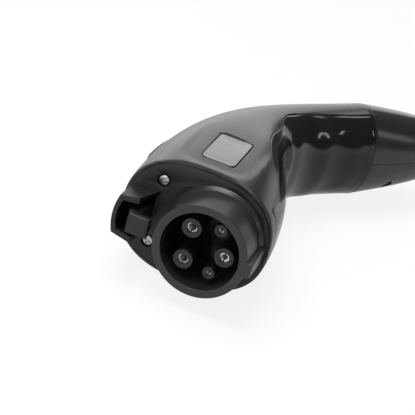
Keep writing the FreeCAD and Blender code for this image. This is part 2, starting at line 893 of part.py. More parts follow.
def cable_gland():
    """A rubber bush round the cable's way out."""
    length, end_wall = number("cap_length"), number("tail_wall")
    radius, bore = number("gland_radius"), number("gland_bore")
    inner = SEAM + ALONG * (length - end_wall)
    bush = rod(radius, inner - ALONG * 2, SEAM + ALONG * (length + number("gland_proud")))
    flange = rod(radius + 1.2, inner - ALONG * 2.1, inner - ALONG * 0.1)
    lip = rod(radius + 0.9, SEAM + ALONG * (length + 0.2), SEAM + ALONG * (length + number("gland_proud")))
    return bush.fuse([flange, lip]).cut(rod(bore, SEAM, SEAM + ALONG * (length + 20))).removeSplitter()


CAP = cap_blank()
solid_part("upper_tail_cap", tail_cap(1))
solid_part("lower_tail_cap", tail_cap(-1))
solid_part("cap_screws", screws(CAP_SCREWS, 1.8, 8, 7, SHANK, HEAD))
solid_part("cable_gland", cable_gland())
solid_part("cable_clamp", cable_clamp())
solid_part("clamp_screws", clamp_screws())

# Latch lever, its carrier, spring and switch

HALF = number("latch_half")
PIVOT = (-number("pivot_x"), number("pivot_y"))
HINGE = (-number("button_hinge_x"), number("button_hinge_y"))


def across(radius, spot, half):
    """A cylinder along Z, centred on the median plane."""
    x, y = spot
    return rod(radius, (x, y, -half), (x, y, half))


def latch_lever():
    tip, tooth, length = number("hook_tip"), -number("hook_bottom"), number("hook_length")
    top, bottom, tail_low = -number("arm_top"), -number("arm_bottom"), -number("tail_bottom")
    end = number("latch_tail")
    points = (
        (top + 1.8, tip),
        (tooth - 0.8, tip),
        (tooth, tip + 0.8),
        (tooth, tip + length),
        (bottom + 0.6, tip + length + 0.5),
        (bottom, tip + length + 1.1),
        (bottom, PIVOT[1]),
        (tail_low, PIVOT[1] + 6),
        (tail_low, end - 0.8),
        (tail_low - 0.8, end),
        (top + 0.8, end),
        (top, end - 0.8),
        (top, tip + 5),
    )
    lever = prism(points, -HALF, HALF).fuse(across(number("pivot_boss"), PIVOT, HALF))
    return lever.cut(across(number("pivot_pin + running_gap"), PIVOT, HALF + 1)).removeSplitter()


def latch_carrier():
    inner = HALF + number("side_gap")
    outer = inner + number("cheek_thick")
    floor, top = -number("carrier_floor"), -number("cheek_top")
    front, step, back = number("carrier_front"), number("carrier_step"), number("carrier_back")
    thick = number("floor_thick")
    points = ((top, front), (floor - 3, front), (floor - 3, step), (floor, step), (floor, back), (top, back))
    carrier = prism(points, -outer, outer)
    carrier = carrier.cut(slab((top - 1, front - 1, -inner), (floor - thick, back + 1, inner)))
    carrier = carrier.common(housing(WALL + 0.3))
    posts = []
    for y in (number("plunger_y - 2"), number("latch_tail - 2")):
        for z in (-5.5, 5.5):
            posts.append(rod(1.5, (floor - 0.5, y, z), (floor + 0.8, y, z)))
            posts.append(rod(0.9, (floor, y, z), (floor + 3, y, z)))
    carrier = carrier.fuse(posts)
    carrier = carrier.cut([across(1.9, spot, outer + 1) for spot in CARRIER_PEGS])
    carrier = carrier.cut(across(number("pivot_pin + 0.02"), PIVOT, outer + 1))
    return carrier.cut(across(number("button_pin + 0.02"), HINGE, outer + 1))


def latch_spring():
    """A coil between the carrier's floor and the lever's tail, in short straight runs."""
    wire, radius, turns = number("spring_wire"), number("spring_radius"), number("spring_turns")
    low, high = number("carrier_floor + floor_thick") + 0.1, number("tail_bottom") - 0.1
    steps = round(turns * 12)
    path = []
    for step in range(steps + 1):
        turn = 2 * math.pi * step / 12
        rise = low + wire + (high - low - 2 * wire) * step / steps
        path.append(Vector(-rise, number("spring_y") + radius * math.sin(turn), radius * math.cos(turn)))
    ahead = path[1] - path[0]
    side = ahead.cross(Vector(1, 0, 0)).normalize()
    rim = [path[0] + side * wire]
    for corner in range(1, 6):
        turn = Rotation(ahead, 60 * corner)
        rim.append(path[0] + turn.multVec(side * wire))
    ring = Part.makePolygon(rim + rim[:1])
    return Part.makePolygon(path).makePipeShell([ring], True, True, 1)


def microswitch():
    floor = -number("carrier_floor + floor_thick")
    front, half = number("switch_front"), number("switch_half")
    top = floor - number("switch_height")
    body = slab((top, front, -half), (floor, front + number("switch_length"), half))
    y = number("plunger_y")
    return body.cut(rod(number("plunger_radius + running_gap"), (top - 1, y, 0), (top + 5, y, 0)))


def switch_plunger():
    floor = -number("carrier_floor + floor_thick")
    top = floor - number("switch_height")
    y = number("plunger_y")
    return rod(number("plunger_radius"), (-number("tail_bottom") + 0.15, y, 0), (top + 3, y, 0))


def circuit_board():
    low = -number("carrier_floor") + 0.8
    front, back = number("plunger_y - 5"), number("latch_tail + 1")
    board = slab((low, front, -9), (low + number("board_thick"), back, 9))
    chips = []
    for y, z, long, wide, tall in ((58, -4, 8, 6, 2.2), (58, 4.5, 6, 3, 1.4), (69, -2, 6, 9, 3.0)):
        face = low + number("board_thick")
        chips.append(slab((face - 0.1, y - long / 2, z - wide / 2), (face + tall, y + long / 2, z + wide / 2)))
    holes = []
    for y in (number("plunger_y - 2"), number("latch_tail - 2")):
        holes += [rod(1.0, (low - 1, y, z), (low + 3, y, z)) for z in (-5.5, 5.5)]
    return board.fuse(chips).cut(holes)


solid_part("latch_lever", latch_lever())
CHEEK = number("latch_half + side_gap + cheek_thick")
solid_part("latch_pin", across(number("pivot_pin"), PIVOT, CHEEK))
solid_part("latch_carrier", latch_carrier())
solid_part("latch_spring", latch_spring())
solid_part("microswitch", microswitch())
solid_part("switch_plunger", switch_plunger())
solid_part("circuit_board", circuit_board())

# Release button


def crown_at(y):
    """How far the housing's back stands from the median axis at a depth."""
    low, high = 0.0, 1.0
    for _ in range(40):
        middle = (low + high) / 2
        if back_point(middle).y < y:
            low = middle
        else:
            high = middle
    return back_point(low).x


def release_button():
    front, back, half = number("button_front"), number("button_back"), number("button_half")
    steps = ((0, 0.9), (0.2, 1.5), (0.45, 1.4), (0.75, 0.6), (1, 0.1))
    ridge = []
    for share, rise in steps:
        y = front + (back - front) * share
        ridge.append(Vector(crown_at(y) - rise, y, -half))
    curve = Part.BSplineCurve()
    curve.interpolate(Points=ridge)
    thick = WALL + 0.6
    under = [Vector(crown_at(back) + thick, back, -half), Vector(crown_at(front) + thick, front, -half)]
    lines = [Part.makeLine(ridge[-1], under[0]), Part.makeLine(*under), Part.makeLine(under[1], ridge[0])]
    face = Part.Face(Part.Wire([curve.toShape()] + lines))
    pad = face.extrude(Vector(0, 0, 2 * half)).common(housing(-1.5))
    stem_y, stem_end = number("stem_y"), -number("arm_top") - 0.35
    stem = slab((crown_at(stem_y) + 1, stem_y - 1, -3), (stem_end, stem_y + 1, 3))
    inner = HALF
    boss = across(2.8, HINGE, inner)
    neck = slab((crown_at(HINGE[1]) + 1.5, HINGE[1] - 1.8, -inner), (HINGE[0], HINGE[1] + 1.2, inner))
    button = pad.fuse([stem, boss, neck])
    return button.cut(across(number("button_pin + running_gap"), HINGE, inner + 1))


solid_part("release_button", release_button())
solid_part("button_pin", across(number("button_pin"), HINGE, CHEEK))

# Checks and files

doc.recompute()


def check():
    """Stops the build when an object failed or a sub-part has no sound solid."""
    for item in doc.Objects:
        if "Invalid" in item.State or "Error" in item.State:
            raise RuntimeError(f"{item.Label} did not compute")
    for part in PARTS:
        if part.Shape.isNull() or not part.Shape.isValid() or not part.Shape.Solids:
            raise RuntimeError(f"{part.Label} has no sound solid")


check()
os.makedirs("parts", exist_ok=True)
for part in PARTS:
    part.Shape.exportStep(f"parts/{part.Label}.step")
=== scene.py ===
# %% [markdown]
# # A vehicle connector of a charging cable
#
# The imported model is the frame of this lesson. It is loaded first, and every piece below
# takes its place from it. Sizes are written in millimetres, as on a drawing, and MM turns
# them into the scene's metres. The box of the bare frame is kept, and the floor is laid at its
# bottom.

# %% Load the frame
import bpy
import math
from mathutils import Matrix, Vector


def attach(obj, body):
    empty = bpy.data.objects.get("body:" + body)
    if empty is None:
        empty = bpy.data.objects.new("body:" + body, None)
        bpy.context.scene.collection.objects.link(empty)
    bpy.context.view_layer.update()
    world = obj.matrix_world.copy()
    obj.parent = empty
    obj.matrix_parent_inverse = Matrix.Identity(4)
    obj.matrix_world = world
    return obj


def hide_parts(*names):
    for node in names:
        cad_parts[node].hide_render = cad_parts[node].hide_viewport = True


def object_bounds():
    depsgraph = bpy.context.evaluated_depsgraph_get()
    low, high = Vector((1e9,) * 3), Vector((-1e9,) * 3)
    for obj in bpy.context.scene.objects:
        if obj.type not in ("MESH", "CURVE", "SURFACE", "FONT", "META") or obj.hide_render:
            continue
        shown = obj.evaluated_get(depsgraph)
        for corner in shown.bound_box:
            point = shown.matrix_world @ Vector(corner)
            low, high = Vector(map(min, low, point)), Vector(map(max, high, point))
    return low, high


MM = 0.001
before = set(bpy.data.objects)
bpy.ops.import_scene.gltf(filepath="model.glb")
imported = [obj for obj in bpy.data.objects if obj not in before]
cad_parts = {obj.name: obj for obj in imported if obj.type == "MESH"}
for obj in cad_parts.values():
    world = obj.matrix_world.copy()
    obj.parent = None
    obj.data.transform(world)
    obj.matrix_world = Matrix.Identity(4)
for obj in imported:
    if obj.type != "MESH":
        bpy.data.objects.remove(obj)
cad_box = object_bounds()
print("frame of", len(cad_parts), "nodes")

# %% [markdown]
# ## Camera, floor and light
#
# The photograph looks down on the rim of the plug barrel from its right, from about
# 0.7 m. The camera's place and turn come from edges whose size is known: the rim, the five
# sleeves and the two screws. Its lens is given in pixels of the photograph.

# %% Camera
scene = bpy.context.scene
RIGHT = Vector((0.9164, 0.3073, 0.2565))
DOWN = Vector((0.3590, -0.3476, -0.8662))
AHEAD_OF_LENS = Vector((-0.1770, 0.8858, -0.4289))
SHIFTED = Vector((-3.69, 19.4, 700.0))
FOCAL_PIXELS, PHOTO_PIXELS, SENSOR = 1615.5, 415, 36.0
spot = -(RIGHT * SHIFTED.x + DOWN * SHIFTED.y + AHEAD_OF_LENS * SHIFTED.z) * MM
bpy.ops.object.camera_add(location=spot)
camera = bpy.context.object
axes = Matrix((RIGHT, -DOWN, -AHEAD_OF_LENS)).transposed()
camera.rotation_euler = axes.to_euler()
camera.data.sensor_width = SENSOR
camera.data.lens = FOCAL_PIXELS / PHOTO_PIXELS * SENSOR
camera.data.clip_end = 20
scene.camera = camera
scene.view_settings.view_transform = "Standard"
print("camera at", [round(value, 3) for value in spot])

# %% [markdown]
# ## Helpers
#
# Every piece is made in the same few steps. It is selected alone, modifiers are applied to it,
# its place is moved into its mesh, and it gets its finish, the body that it rides on and the
# frame nodes that it stands for.

# %% Helpers that every piece uses


def only(piece):
    """Leaves one object selected and active, in object mode."""
    if bpy.context.object and bpy.context.object.mode != "OBJECT":
        bpy.ops.object.mode_set(mode="OBJECT")
    bpy.ops.object.select_all(action="DESELECT")
    piece.select_set(True)
    bpy.context.view_layer.objects.active = piece


def named(name):
    """Names the object that was just made."""
    piece = bpy.context.object
    piece.name = name
    piece.data.name = name
    return piece


def finish_with(piece, kind, **settings):
    """Adds a modifier, sets it and applies it."""
    only(piece)
    modifier = piece.modifiers.new(kind.title(), kind)
    for key, value in settings.items():
        setattr(modifier, key, value)
    bpy.ops.object.modifier_apply(modifier=modifier.name)


def settle(piece, angle=35):
    """Moves an object's place into its mesh and smooths all but its sharp edges."""
    only(piece)
    bpy.ops.object.transform_apply(location=True, rotation=True, scale=True)
    bpy.ops.object.shade_smooth_by_angle(angle=math.radians(angle))
    return piece


def dress(piece, material, slot, body="housing", *nodes):
    """Gives a finished piece its material, body and the nodes that it stands for; slot is not
    used.
    """
    piece.data.materials.clear()
    piece.data.materials.append(material)
    for face in piece.data.polygons:
        face.material_index = 0
    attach(piece, body)
    if nodes:
        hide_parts(*nodes)
    return piece


# %% [markdown]
# ## Floor, backdrop and room
#
# The camera sees white paper all round. What the black plastic reflects is another matter: it
# sees the paper's glow, which is dimmed close to the connector as painted shade for its shadow
# on the floor, and a dark room beyond the paper. That gives the plastic its long grey sheen and
# its dark sides. The floor keeps the soft shadow, since a share of it is plain lit paper.

# %% Floor, backdrop and room
PAPER_GLOW_SHARE = 0.86
DARK_ROOM = 0.10
FLOOR = cad_box[0].z - 0.0002


def math_node(tree, operation):
    """A math node of one operation."""
    node = tree.nodes.new("ShaderNodeMath")
    node.operation = operation
    return node


def paper(name, glow, near=1.0):
    """Paper that the lens sees white. Reflections see its glow, dimmed near the part by painted
    shade.
    """
    material = bpy.data.materials.new(name)
    material.use_nodes = True
    tree = material.node_tree
    plain = tree.nodes["Principled BSDF"]
    plain.inputs["Base Color"].default_value = (0.93, 0.93, 0.93, 1)
    plain.inputs["Roughness"].default_value = 0.9
    path = tree.nodes.new("ShaderNodeLightPath")
    seen = math_node(tree, "MAXIMUM")
    share = math_node(tree, "MULTIPLY")
    share.inputs[1].default_value = PAPER_GLOW_SHARE
    ground = tree.nodes.new("ShaderNodeTexCoord")
    apart = tree.nodes.new("ShaderNodeVectorMath")
    apart.operation = "LENGTH"
    # Painted shade: the glow that reflections see drops to near times glow within 8 cm of the
    # sheet's middle and rises to the full glow at 40 cm. It stands in for the connector's shadow
    # on the floor.
    painted_shade_fall = tree.nodes.new("ShaderNodeMapRange")
    painted_shade_fall.inputs["From Min"].default_value = 0.08
    painted_shade_fall.inputs["From Max"].default_value = 0.4
    painted_shade_fall.inputs["To Min"].default_value = glow * near
    painted_shade_fall.inputs["To Max"].default_value = glow
    white = math_node(tree, "MAXIMUM")
    light = tree.nodes.new("ShaderNodeEmission")
    tree.links.new(ground.outputs["Object"], apart.inputs[0])
    tree.links.new(apart.outputs["Value"], painted_shade_fall.inputs["Value"])
    tree.links.new(painted_shade_fall.outputs["Result"], white.inputs[0])
    tree.links.new(path.outputs["Is Camera Ray"], white.inputs[1])
    tree.links.new(white.outputs[0], light.inputs["Strength"])
    mix = tree.nodes.new("ShaderNodeMixShader")
    tree.links.new(path.outputs["Is Camera Ray"], seen.inputs[0])
    tree.links.new(path.outputs["Is Glossy Ray"], seen.inputs[1])
    tree.links.new(seen.outputs[0], share.inputs[0])
    tree.links.new(share.outputs[0], mix.inputs["Fac"])
    tree.links.new(plain.outputs[0], mix.inputs[1])
    tree.links.new(light.outputs[0], mix.inputs[2])
    tree.links.new(mix.outputs[0], tree.nodes["Material Output"].inputs["Surface"])
    return material


def standing_sheet(name, place, size, material):
    """A sheet of paper that stands behind the connector and faces the camera's side."""
    bpy.ops.object.select_all(action="DESELECT")
    upright_turn = (math.radians(90), 0, 0)
    bpy.ops.mesh.primitive_plane_add(size=1, location=place, rotation=upright_turn)
    sheet = named(name)
    sheet.scale = (*size, 1)
    bpy.ops.object.transform_apply(location=True, rotation=True, scale=True)
    sheet.data.materials.append(material)
    return sheet


bpy.ops.object.select_all(action="DESELECT")
# The floor's middle lies under the connector. Its glow in reflections is painted down to 0.62
# there as painted shade.
bpy.ops.mesh.primitive_plane_add(size=8, location=(0.03, 0.1, FLOOR))
floor = named("studio_floor")
floor.data.materials.append(paper("floor_paper_with_painted_shade", 1.0, 0.62))
backdrop = standing_sheet(
    "studio_backdrop", (-1.0, 1.7, FLOOR + 0.6), (2.3, 1.2), paper("backdrop_paper", 1.8)
)
side_sheet = standing_sheet(
    "studio_side_sheet", (0.76, 1.7, FLOOR + 0.34), (0.72, 0.5), paper("side_paper", 1.25)
)

room = bpy.data.worlds.new("studio_room")
scene.world = room
room.use_nodes = True
sky = room.node_tree.nodes["Background"]
sky.inputs["Color"].default_value = (1, 1, 1, 1)
path = room.node_tree.nodes.new("ShaderNodeLightPath")
seen = math_node(room.node_tree, "MAXIMUM")
level = room.node_tree.nodes.new("ShaderNodeMapRange")
level.inputs["To Min"].default_value = DARK_ROOM
level.inputs["To Max"].default_value = 1.0
room.node_tree.links.new(path.outputs["Is Camera Ray"], seen.inputs[0])
room.node_tree.links.new(path.outputs["Is Transmission Ray"], seen.inputs[1])
room.node_tree.links.new(seen.outputs[0], level.inputs["Value"])
room.node_tree.links.new(level.outputs["Result"], sky.inputs["Strength"])
print("floor at", round(FLOOR, 4))

# %% [markdown]
# ## Lamps
#
# A wide lamp overhead gives the light. A small one behind draws the sheen along the back, a
# narrow one at the right makes the bright spots on the glossy grip, and a weak one in front
# opens the shadows of the plug.

# %% Lamps
LAMPS_AIM = Vector((0, 0.09, 0))


def lamp(name, place, size, power):
    """A soft rectangular lamp that is turned to the connector."""
    bpy.ops.object.light_add(type="AREA", location=place)
    light = bpy.context.object
    light.name = name
    light.data.shape = "RECTANGLE"
    light.data.size, light.data.size_y = size
    light.data.energy = power
    light.rotation_euler = (LAMPS_AIM - Vector(place)).to_track_quat("-Z", "Y").to_euler()


lamp("overhead", (-0.3, 0.0, 1.1), (1.0, 0.8), 15)
lamp("back", (0.25, 1.0, 1.0), (0.45, 0.12), 0.9)
lamp("right", (0.943, 0.344, 0.378), (0.052, 0.2), 0.25)
lamp("front", (-0.3, -1.0, 0.4), (0.5, 0.5), 3.5)

# %% [markdown]
# ## Finishes
#
# The connector is almost all black plastic, so its pieces are told apart by their sheen. The
# housing and the tail caps are satin, the barrel, the front plate and the latch have a matt
# grain with pale specks, and the grip's pads are glossy. Each finish below is noise in object
# space: a wide one moves the colour and the roughness, and a fine one makes the grain as bump
# and the specks.

# %% Finishes


def moulded(
    name, dark, light, rough, grain, depth,
    metal=0.0, patch=60.0, stretch=(1, 1, 1), specks=0.0, shine=0.5,
):
    """A moulded, turned or brushed surface with its own grain and slight unevenness."""
    material = bpy.data.materials.new(name)
    material.use_nodes = True
    nodes, links = material.node_tree.nodes, material.node_tree.links
    shader = nodes["Principled BSDF"]
    shader.inputs["Metallic"].default_value = metal
    shader.inputs["Specular IOR Level"].default_value = shine
    place = nodes.new("ShaderNodeTexCoord")
    turn = nodes.new("ShaderNodeMapping")
    turn.inputs["Scale"].default_value = stretch
    links.new(place.outputs["Object"], turn.inputs["Vector"])

    def noise(scale, detail):
        cloud = nodes.new("ShaderNodeTexNoise")
        cloud.inputs["Scale"].default_value = scale
        cloud.inputs["Detail"].default_value = detail
        links.new(turn.outputs["Vector"], cloud.inputs["Vector"])
        return cloud.outputs["Fac"]

    wide, fine = noise(patch, 4), noise(grain, 3)
    tint = nodes.new("ShaderNodeValToRGB")
    tint.color_ramp.elements[0].position = 0.3
    tint.color_ramp.elements[0].color = (*dark, 1)
    tint.color_ramp.elements[1].position = 0.7
    tint.color_ramp.elements[1].color = (*light, 1)
    links.new(wide, tint.inputs["Fac"])
    colour = tint.outputs["Color"]
    if specks:
        dots = nodes.new("ShaderNodeMapRange")
        dots.inputs["From Min"].default_value = 0.62
        dots.inputs["From Max"].default_value = 0.72
        dots.inputs["To Max"].default_value = specks
        links.new(fine, dots.inputs["Value"])
        dusted = nodes.new("ShaderNodeMix")
        dusted.data_type = "RGBA"
        links.new(dots.outputs["Result"], dusted.inputs["Factor"])
        links.new(colour, dusted.inputs["A"])
        dusted.inputs["B"].default_value = (0.22, 0.22, 0.22, 1)
        colour = dusted.outputs["Result"]
    links.new(colour, shader.inputs["Base Color"])
    gloss = nodes.new("ShaderNodeMapRange")
    gloss.inputs["To Min"].default_value = rough[0]
    gloss.inputs["To Max"].default_value = rough[1]
    links.new(wide, gloss.inputs["Value"])
    links.new(gloss.outputs["Result"], shader.inputs["Roughness"])
    bump = nodes.new("ShaderNodeBump")
    bump.inputs["Strength"].default_value = 0.6
    bump.inputs["Distance"].default_value = depth * MM
    links.new(fine, bump.inputs["Height"])
    links.new(bump.outputs["Normal"], shader.inputs["Normal"])
    return material


satin_black = moulded(
    "satin_black", (0.016, 0.017, 0.0165), (0.022, 0.023, 0.0225), (0.22, 0.30), 1500, 0.008
)
grained_black = moulded(
    "grained_black", (0.005, 0.005, 0.0056), (0.008, 0.008, 0.0086), (0.38, 0.5), 1700, 0.03,
    specks=0.08,
)
barrel_black = moulded(
    "barrel_black", (0.021, 0.021, 0.0215), (0.027, 0.027, 0.0275), (0.28, 0.36), 1700, 0.02,
    specks=0.06,
)
latch_black = moulded(
    "latch_black", (0.008, 0.008, 0.009), (0.012, 0.012, 0.013), (0.36, 0.48), 1500, 0.02,
    specks=0.08,
)
glossy_black = moulded(
    "glossy_black", (0.009, 0.009, 0.010), (0.012, 0.012, 0.013), (0.07, 0.12), 700, 0.002,
    shine=0.32,
)
sleeve_black = moulded(
    "sleeve_black", (0.010, 0.0105, 0.011), (0.015, 0.0155, 0.016), (0.3, 0.4), 1400, 0.012
)
rubber_black = moulded(
    "rubber_black", (0.018, 0.018, 0.018), (0.028, 0.028, 0.028), (0.62, 0.8), 1200, 0.05
)
inner_grey = moulded(
    "inner_grey", (0.085, 0.085, 0.087), (0.12, 0.12, 0.122), (0.45, 0.6), 900, 0.03
)
board_green = moulded(
    "board_green", (0.012, 0.10, 0.04), (0.02, 0.15, 0.06), (0.25, 0.4), 600, 0.02, patch=300
)
plated_silver = moulded(
    "plated_silver", (0.78, 0.77, 0.74), (0.9, 0.89, 0.87), (0.3, 0.42), 900, 0.012,
    metal=1.0, patch=500,
)
turned_steel = moulded(
    "turned_steel", (0.42, 0.42, 0.43), (0.62, 0.62, 0.63), (0.22, 0.36), 1400, 0.015,
    metal=1.0, patch=400,
)
brushed_silver = moulded(
    "brushed_silver", (0.29, 0.3, 0.3), (0.38, 0.39, 0.39), (0.42, 0.54), 900, 0.01,
    metal=0.85, patch=160, stretch=(1, 9, 9),
)
print("finishes ready")

# %% [markdown]
# ## The housing's skin
#
# The housing is a lofted shape. Two curves in its middle plane, the back and the belly, run
# from the front plate to the seam of the tail cap, and each cross-section is an oval between a
# point of one and a point of the other. These are the curves that the frame's solids follow,
# so a piece that is laid on this skin fits its neighbours without any trial. A layer of wall
# lies between two such skins, and cutters of simple outlines are carved out of it.

# %% Skin of the housing
GRIP = math.radians(41)
ALONG = Vector((math.sin(GRIP), math.cos(GRIP), 0))
AHEAD = Vector((math.cos(GRIP), -math.sin(GRIP), 0))
SEAM = Vector((28.5, 174.6, 0))
GRIP_DEPTH, GRIP_WIDTH = 17.6, 24.9
CAP_LENGTH, CAP_END = 54, 12.8
HALF_GAP = 0.08


def bezier(points, t):
    """A cubic curve's point."""
    weights = ((1 - t) ** 3, 3 * t * (1 - t) ** 2, 3 * t * t * (1 - t), t**3)
    rest = (point * weight for point, weight in zip(points[1:], weights[1:]))
    return sum(rest, points[0] * weights[0])


BACK_END, BELLY_END = SEAM - AHEAD * GRIP_DEPTH, SEAM + AHEAD * GRIP_DEPTH
BACK = (Vector((-45, 22, 0)), Vector((-52, 102, 0)), BACK_END - ALONG * 60, BACK_END)
BELLY = (Vector((26, 22, 0)), Vector((26, 97, 0)), BELLY_END - ALONG * 90, BELLY_END)
WIDTH = (28.4, 33.0, 22.5, GRIP_WIDTH)


def oval(centre, depth, deep, wide, squareness, turn):
    """A point of an oval: turn 0 is on the belly, a quarter turn on the upper side."""
    c, s = math.cos(turn), math.sin(turn)
    across = math.copysign(abs(c) ** (2 / squareness), c) * deep
    up = math.copysign(abs(s) ** (2 / squareness), s) * wide
    return centre + depth * across + Vector((0, 0, up))


def skin(t, turn, inset=0.0):
    """A point of the housing between the front plate at t 0 and the seam at t 1."""
    back, belly = bezier(BACK, t), bezier(BELLY, t)
    reach = belly - back
    deep, wide = reach.length / 2 - inset, bezier(WIDTH, t) - inset
    squareness = 2.45 - 0.35 * t
    return oval((back + belly) / 2, reach.normalized(), deep, wide, squareness, turn)


def cap_skin(t, turn, inset=0.0):
    """A point of the tail cap between the seam at t 0 and its end at t 1."""
    wide = CAP_END + (GRIP_WIDTH - CAP_END) * (1 - t) ** 0.6 - inset
    deep = CAP_END + (GRIP_DEPTH - CAP_END) * (1 - t**2.5) ** 0.6 - inset
    squareness = 2.1 - 0.1 * t
    return oval(SEAM + ALONG * (CAP_LENGTH * t), AHEAD, deep, wide, squareness, turn)


def laid_grid(name, rows, columns, place):
    """A grid primitive whose points are laid one by one where place(row, column) says."""
    bpy.ops.object.select_all(action="DESELECT")
    bpy.ops.mesh.primitive_grid_add(x_subdivisions=columns - 1, y_subdivisions=rows - 1, size=2)
    sheet = named(name)
    for point in sheet.data.vertices:
        column = round((point.co.x + 1) / 2 * (columns - 1))
        row = round((point.co.y + 1) / 2 * (rows - 1))
        point.co = place(row, column) * MM
    sheet.data.update()
    return sheet


def layer(name, stations, columns, outside, inside):
    """A closed layer of wall between the points outside(t, share) and inside(t, share)."""

    def place(row, column):
        t = stations[row]
        if column <= columns:
            return outside(t, column / columns)
        if column <= 2 * columns + 1:
            return inside(t, (2 * columns + 1 - column) / columns)
        return outside(t, 0)

    wall = laid_grid(name, len(stations), 2 * columns + 3, place)
    only(wall)
    bpy.ops.object.mode_set(mode="EDIT")
    bpy.ops.mesh.select_all(action="SELECT")
    bpy.ops.mesh.remove_doubles(threshold=1e-6)
    bpy.ops.mesh.fill_holes(sides=0)
    bpy.ops.mesh.select_all(action="SELECT")
    bpy.ops.mesh.normals_make_consistent(inside=False)
    bpy.ops.object.mode_set(mode="OBJECT")
    return wall


def cutter(name, corners, low, high, lift=None):
    """A solid tool: an outline carried between two levels, in XY unless lift says otherwise."""
    bpy.ops.object.select_all(action="DESELECT")
    bpy.ops.mesh.primitive_circle_add(vertices=len(corners), radius=1, fill_type="NGON")
    tool = named(name)
    lift = lift or (lambda x, y, level: Vector((x, y, level)))
    for point, (x, y) in zip(tool.data.vertices, corners):
        point.co = lift(x, y, low) * MM
    climb = (lift(0, 0, high) - lift(0, 0, low)) * MM
    only(tool)
    bpy.ops.object.mode_set(mode="EDIT")
    bpy.ops.mesh.select_all(action="SELECT")
    bpy.ops.mesh.extrude_region_move(TRANSFORM_OT_translate={"value": climb})
    bpy.ops.mesh.select_all(action="SELECT")
    bpy.ops.mesh.normals_make_consistent(inside=False)
    bpy.ops.object.mode_set(mode="OBJECT")
    return tool


def carve(piece, *tools):
    """Cuts tools out of a piece and removes them."""
    for tool in tools:
        finish_with(piece, "BOOLEAN", operation="DIFFERENCE", object=tool, solver="EXACT")
        bpy.data.objects.remove(tool)


def soften(piece, width, angle=40, segments=2):
    """Rounds the edges that are sharper than an angle."""
    sharp = {"limit_method": "ANGLE", "angle_limit": math.radians(angle)}
    finish_with(piece, "BEVEL", width=width * MM, segments=segments, **sharp)


def soften_off_seam(piece, width):
    """Rounds a piece's sharp edges, but not those in the middle plane, where its twin meets it."""
    only(piece)
    bpy.ops.object.mode_set(mode="EDIT")
    bpy.ops.mesh.select_mode(type="EDGE")
    bpy.ops.mesh.select_all(action="DESELECT")
    bpy.ops.mesh.edges_select_sharp(sharpness=math.radians(45))
    bpy.ops.object.mode_set(mode="OBJECT")
    points = piece.data.vertices
    for edge in piece.data.edges:
        if any(abs(points[end].co.z) < 0.1 * MM for end in edge.vertices):
            edge.select = False
    bpy.ops.object.mode_set(mode="EDIT")
    bpy.ops.mesh.bevel(offset=width * MM, segments=2, clamp_overlap=True)
    bpy.ops.mesh.select_mode(type="VERT")
    bpy.ops.object.mode_set(mode="OBJECT")


def rounded_corners(x, y, half_x, half_y, radius, steps=6):
    """The outline of a rectangle with round corners."""
    points = []
    for quarter, (sx, sy) in enumerate(((1, 1), (-1, 1), (-1, -1), (1, -1))):
        for step in range(steps + 1):
            turn = math.pi / 2 * (quarter + step / steps)
            centre_x, centre_y = x + sx * (half_x - radius), y + sy * (half_y - radius)
            points.append((centre_x + radius * math.cos(turn), centre_y + radius * math.sin(turn)))
    return points


def upright(x, z, y):
    """Places an outline of the XZ plane at a depth."""
    return Vector((x, y, z))


def plate_space():
    """The space that the front plate takes in the housing's mouth."""
    rim = [skin(0, 2 * math.pi * step / 96, 1.35) for step in range(96)]
    return cutter("plate_space", [(point.x, point.z) for point in rim], 20.0, 25.1, upright)


def evenly(count, start=0.0, end=1.0):
    """Evenly spaced values from start to end."""
    return [start + (end - start) * step / (count - 1) for step in range(count)]


print("seam at", tuple(SEAM))

# %% [markdown]
# ## Upper and lower shell
#
# The housing is moulded in two halves that meet in the middle plane. Each half is a layer of
# the skin, 2.6 mm thick. Tools are carved out of it: the mouth for the front plate, the opening
# for the top cover and the field of the glossy grip pad, which steps down by a pad's thickness.
# The pad's edge is a line seen from above, given along the grip from the seam and across it
# from its axis. Round the nameplate the skin dips a little, with a soft edge.

# %% Where the pad and the cover begin
WALL = 2.6
PAD_THICK, PAD_GAP, PAD_START = 1.2, 0.12, 28.0
PAD_LINE = [(20.3, 21.0), (20.3, 44.0)]
PAD_CURVE = (
    (96.7, 59.7), (92.7, 49.5), (87.5, 40.9), (83.5, 35.5), (79.5, 31.6), (75, 28.6),
    (71, 25.6), (67.9, 22.0), (65, 18.2), (62.2, 14.6), (59.6, 12.2), (56, 10.6),
    (50, 9.2), (43, 7.8), (36, 7), (-3, 7),
)
for along, ahead in PAD_CURVE:
    point = SEAM - ALONG * along + AHEAD * ahead
    PAD_LINE.append((point.x, point.y))


def ahead_of_line(point):
    """How far a point lies on the belly's side of the pad's edge, as seen from above."""
    best = None
    for (x0, y0), (x1, y1) in zip(PAD_LINE, PAD_LINE[1:]):
        run = Vector((x1 - x0, y1 - y0))
        reach = Vector((point.x - x0, point.y - y0))
        share = max(0.0, min(1.0, reach.dot(run) / run.length_squared))
        gap = reach - run * share
        if best is None or gap.length < best[0]:
            best = (gap.length, run.y * gap.x - run.x * gap.y)
    return math.copysign(best[0], best[1])


def pad_turn(t, gap=0.0):
    """The turn at which a cross-section crosses the pad's edge, or a gap outside it."""
    low, high = 0.0, math.pi * 0.8
    for _ in range(24):
        middle = (low + high) / 2
        if ahead_of_line(skin(t, middle)) > -gap:
            low = middle
        else:
            high = middle
    return low


PAD_ROWS = evenly(90, 0.03, 1.0)
PAD_TURNS = {gap: [pad_turn(t, gap) for t in PAD_ROWS] for gap in (0.0, PAD_GAP)}


def block(left, front, right, back):
    """The outline of a rectangle between two opposite corners."""
    return [(left, front), (right, front), (right, back), (left, back)]


